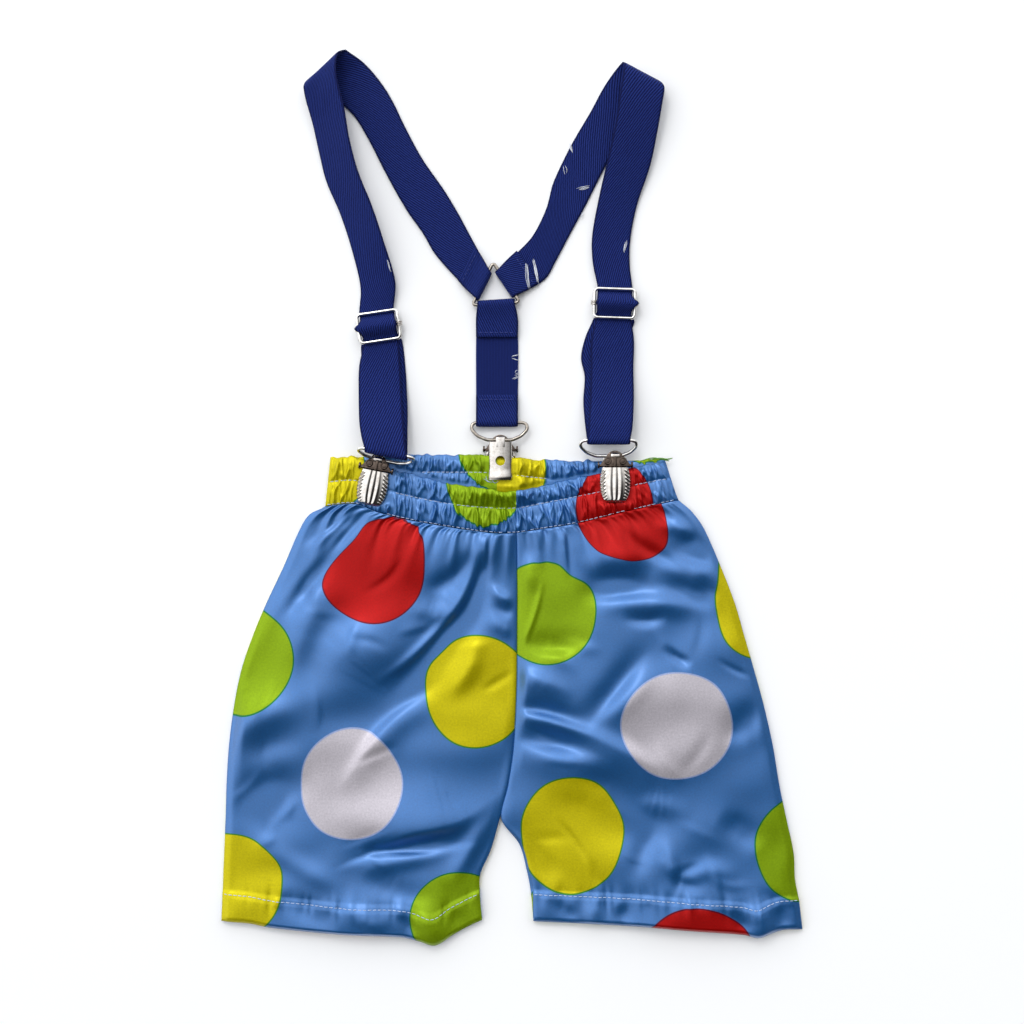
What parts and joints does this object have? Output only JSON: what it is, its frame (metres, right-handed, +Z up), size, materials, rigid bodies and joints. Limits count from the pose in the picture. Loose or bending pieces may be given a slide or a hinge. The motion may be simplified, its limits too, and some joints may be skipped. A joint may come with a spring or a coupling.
{
  "type": "clown shorts with braces",
  "caption": "Toddler's satin dot shorts with an elastic waist and clip-on Y-back elastic braces, laid flat, for a clown costume.",
  "frame": {"origin": "middle of the whole footprint, on the surface that the garment lies on", "axes": "+Z up from the surface, +Y from the leg hems towards the shoulder ends of the braces, +X to the right as seen from the front"},
  "size_m": [0.3325, 0.511, 0.0162],
  "materials": {
    "satin": "satin",
    "elastic": "matte",
    "nickel": "polished",
    "dark_nickel": "satin"
  },
  "bodies": {
    "root": {"waistband_back": "satin", "waistband_front": "satin", "shorts_back_left": "satin", "shorts_back_right": "satin", "shorts_front_left": "satin", "shorts_front_right": "satin", "ring_triangle": "nickel", "clip_loop_left": "nickel", "clip_body_left": "dark_nickel", "clip_cover_left": "nickel", "clip_loop_right": "nickel", "clip_body_right": "dark_nickel", "clip_cover_right": "nickel", "clip_loop_back": "nickel", "clip_body_back": "dark_nickel", "clip_cover_back": "nickel", "slider_frame_left": "nickel", "slider_bar_left": "nickel", "slider_frame_right": "nickel", "slider_bar_right": "nickel", "strap_rear_left": "elastic", "strap_rear_right": "elastic", "strap_front_left": "elastic", "strap_front_right": "elastic", "strap_tail_left": "elastic", "strap_tail_right": "elastic", "strap_back": "elastic"}
  },
  "joints": []
}
